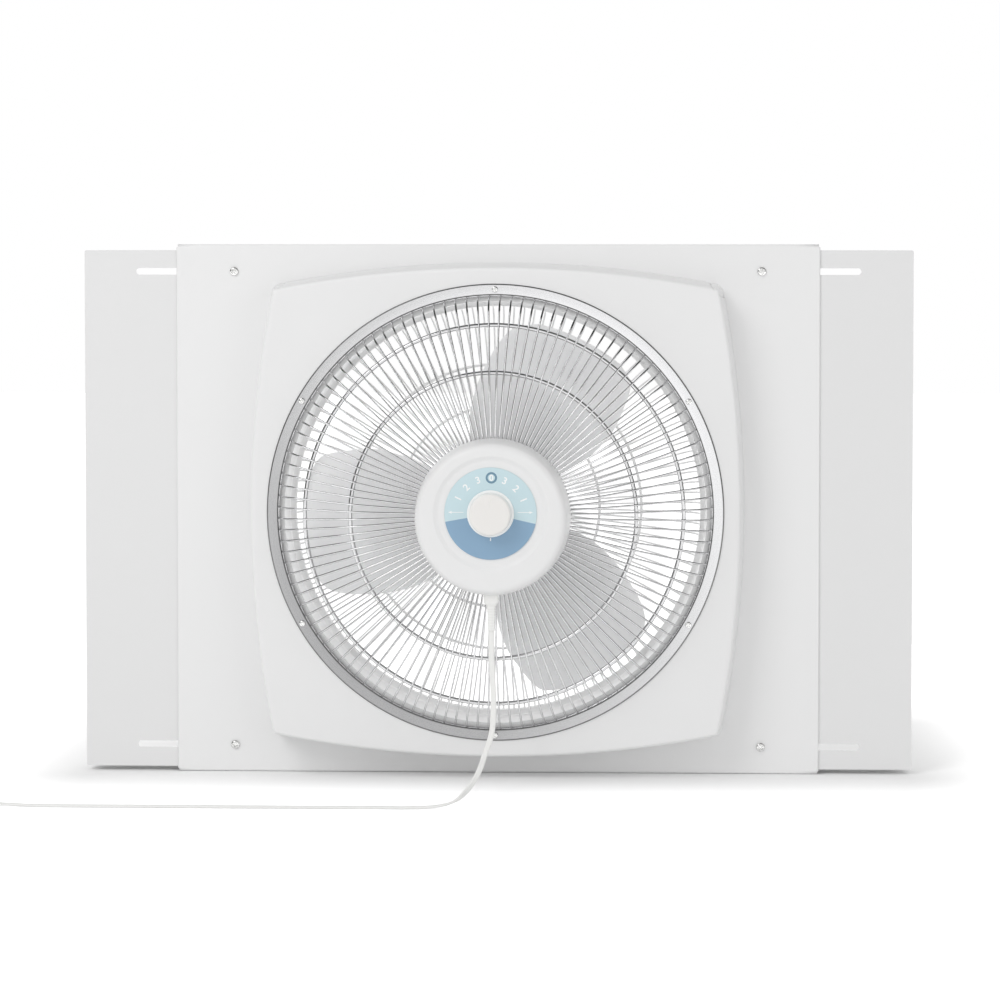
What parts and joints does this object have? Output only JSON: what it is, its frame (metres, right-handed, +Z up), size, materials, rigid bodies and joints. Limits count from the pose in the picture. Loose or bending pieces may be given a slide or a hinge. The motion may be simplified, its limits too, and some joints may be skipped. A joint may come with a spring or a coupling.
{
  "type": "window fan",
  "caption": "Window fan with a round wire grille, a dial hub, sliding side panels and a cord laid out to a plug.",
  "frame": {"origin": "middle of the underside of the bottom flange, where the fan rests on the window sill", "axes": "+X across the window to the right as seen from the room, +Y out through the window, +Z up; the grille faces -Y"},
  "size_m": [1.0384, 0.2406, 0.565],
  "materials": {
    "painted_sheet": "white powder coat, satin",
    "side_sheet": "off-white powder coat, satin",
    "white_moulding": "moulded plastic, satin",
    "bright_wire": "plated wire, bright",
    "white_wire": "white dip coat",
    "brushed_rim": "brushed along the ring",
    "zinc_screw": "zinc plated",
    "blade_plastic": "slightly translucent grey plastic",
    "dial_face": "printed in two blues",
    "motor_steel": "plain steel",
    "dark_steel": "varnished laminations",
    "bronze": "sintered bronze",
    "black_plastic": "moulded plastic",
    "white_vinyl": "soft white vinyl",
    "brass": "plain brass"
  },
  "bodies": {
    "housing": {"centre_panel": "painted_sheet", "front_housing": "white_moulding", "air_duct": "painted_sheet", "rim_ring": "brushed_rim", "front_guard": "bright_wire", "front_guard_outer_ring": "bright_wire", "front_guard_inner_ring": "bright_wire", "rear_guard": "white_wire", "rear_guard_outer_ring": "white_wire", "rear_guard_middle_ring": "white_wire", "rear_guard_inner_ring": "white_wire", "hub_cover": "white_moulding", "hub_back_plate": "motor_steel", "dial_plate": "dial_face", "rotary_switch": "black_plastic", "front_end_bell": "motor_steel", "rear_end_bell": "motor_steel", "stator": "dark_steel", "front_bush": "bronze", "rear_bush": "bronze", "motor_bolt_left": "zinc_screw", "motor_bolt_right": "zinc_screw", "run_capacitor": "black_plastic", "terminal_block": "white_moulding", "strain_relief": "white_vinyl", "power_cord": "white_vinyl", "cord_coil": "white_vinyl", "cord_tie": "black_plastic", "plug_body": "white_vinyl", "plug_prong_left": "brass", "plug_prong_right": "brass", "clamp_screw_top_left": "zinc_screw", "clamp_screw_top_right": "zinc_screw", "clamp_screw_bottom_left": "zinc_screw", "clamp_screw_bottom_right": "zinc_screw", "clamp_nut_top_left": "zinc_screw", "clamp_nut_top_right": "zinc_screw", "clamp_nut_bottom_left": "zinc_screw", "clamp_nut_bottom_right": "zinc_screw", "rim_screw_1": "zinc_screw", "rim_screw_2": "zinc_screw", "rim_screw_3": "zinc_screw", "rim_screw_4": "zinc_screw", "rim_screw_5": "zinc_screw", "rim_screw_6": "zinc_screw", "rear_guard_clip_1": "white_wire", "rear_guard_clip_2": "white_wire", "rear_guard_clip_3": "white_wire", "rear_guard_clip_4": "white_wire"},
    "blade": {"fan_blade": "blade_plastic", "blade_nut": "zinc_screw", "motor_shaft": "motor_steel", "rotor": "dark_steel"},
    "dial_knob": {"knob": "white_moulding", "switch_shaft": "brass"},
    "left_panel": {"left_side_panel": "side_sheet"},
    "right_panel": {"right_side_panel": "side_sheet"}
  },
  "joints": [
    {"name": "fan_spin", "type": "hinge", "parent": "housing", "child": "blade", "pos_m": [0, -0.045, 0.2825], "axis": [0, 1, 0], "continuous": true},
    {"name": "knob_turn", "type": "hinge", "parent": "housing", "child": "dial_knob", "pos_m": [0, -0.16, 0.2888], "axis": [0, 1, 0], "range_deg": [-66, 66]},
    {"name": "left_panel_slide", "type": "slide", "parent": "housing", "child": "left_panel", "axis": [-1, 0, 0], "range_m": [-0.1025, 0.008]},
    {"name": "right_panel_slide", "type": "slide", "parent": "housing", "child": "right_panel", "axis": [1, 0, 0], "range_m": [-0.1025, 0.008]}
  ]
}
